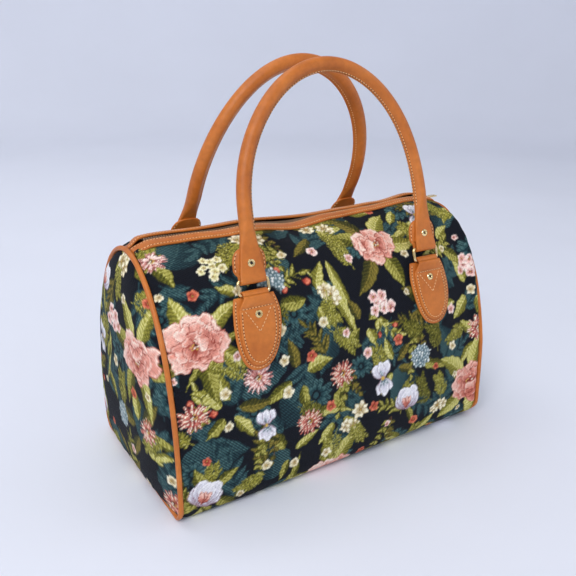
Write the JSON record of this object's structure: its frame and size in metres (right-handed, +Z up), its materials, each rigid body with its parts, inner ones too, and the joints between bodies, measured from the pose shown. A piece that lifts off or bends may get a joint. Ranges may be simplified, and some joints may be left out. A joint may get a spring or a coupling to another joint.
{
  "type": "tapestry duffel bag",
  "caption": "Soft tapestry duffel bag with an arched zipped top, piped leather edges and rolled leather handles on swinging rings.",
  "frame": {"origin": "centre of the base on the surface that the bag stands on", "axes": "+X along the bag towards the zip's closed end, -Y to the front, +Z up"},
  "size_m": [0.415, 0.2194, 0.4133],
  "materials": {
    "tapestry": "matte",
    "leather": "satin",
    "brass": "polished",
    "zip_tape": "matte",
    "zip_teeth": "satin",
    "board": "matte"
  },
  "bodies": {
    "bag": {"front_panel": "tapestry", "back_panel": "tapestry", "left_end_panel": "tapestry", "right_end_panel": "tapestry", "left_piping": "leather", "right_piping": "leather", "base_board": "board", "front_zip_band": "leather", "back_zip_band": "leather", "front_zip_tape": "zip_tape", "back_zip_tape": "zip_tape", "front_zip_teeth": "zip_teeth", "back_zip_teeth": "zip_teeth", "front_left_backing": "leather", "front_right_backing": "leather", "back_left_backing": "leather", "back_right_backing": "leather", "front_left_tongue": "leather", "front_right_tongue": "leather", "back_left_tongue": "leather", "back_right_tongue": "leather", "front_tab_eyelets": "brass", "back_tab_eyelets": "brass"},
    "zip_slider": {"zip_slider": "brass"},
    "zip_pull": {"zip_pull": "brass"},
    "front_rings": {"front_left_ring": "brass", "front_right_ring": "brass"},
    "front_handle": {"front_handle": "leather", "front_handle_eyelets": "brass"},
    "back_rings": {"back_left_ring": "brass", "back_right_ring": "brass"},
    "back_handle": {"back_handle": "leather", "back_handle_eyelets": "brass"}
  },
  "joints": [
    {"name": "zip_travel", "type": "slide", "parent": "bag", "child": "zip_slider", "axis": [-1, 0, 0], "range_m": [0, 0.33]},
    {"name": "pull_flip", "type": "hinge", "parent": "zip_slider", "child": "zip_pull", "pos_m": [0.1675, 0, 0.24905], "axis": [0, -1, 0], "range_deg": [0, 170]},
    {"name": "front_ring_swing", "type": "hinge", "parent": "bag", "child": "front_rings", "pos_m": [0, -0.08445, 0.206], "axis": [1, 0, 0], "range_deg": [0, 105]},
    {"name": "front_handle_swing", "type": "hinge", "parent": "front_rings", "child": "front_handle", "pos_m": [0, -0.08068, 0.21844], "axis": [1, 0, 0], "range_deg": [0, 60]},
    {"name": "back_ring_swing", "type": "hinge", "parent": "bag", "child": "back_rings", "pos_m": [0, 0.08445, 0.206], "axis": [-1, 0, 0], "range_deg": [0, 105]},
    {"name": "back_handle_swing", "type": "hinge", "parent": "back_rings", "child": "back_handle", "pos_m": [0, 0.07854, 0.21758], "axis": [-1, 0, 0], "range_deg": [0, 60]}
  ]
}
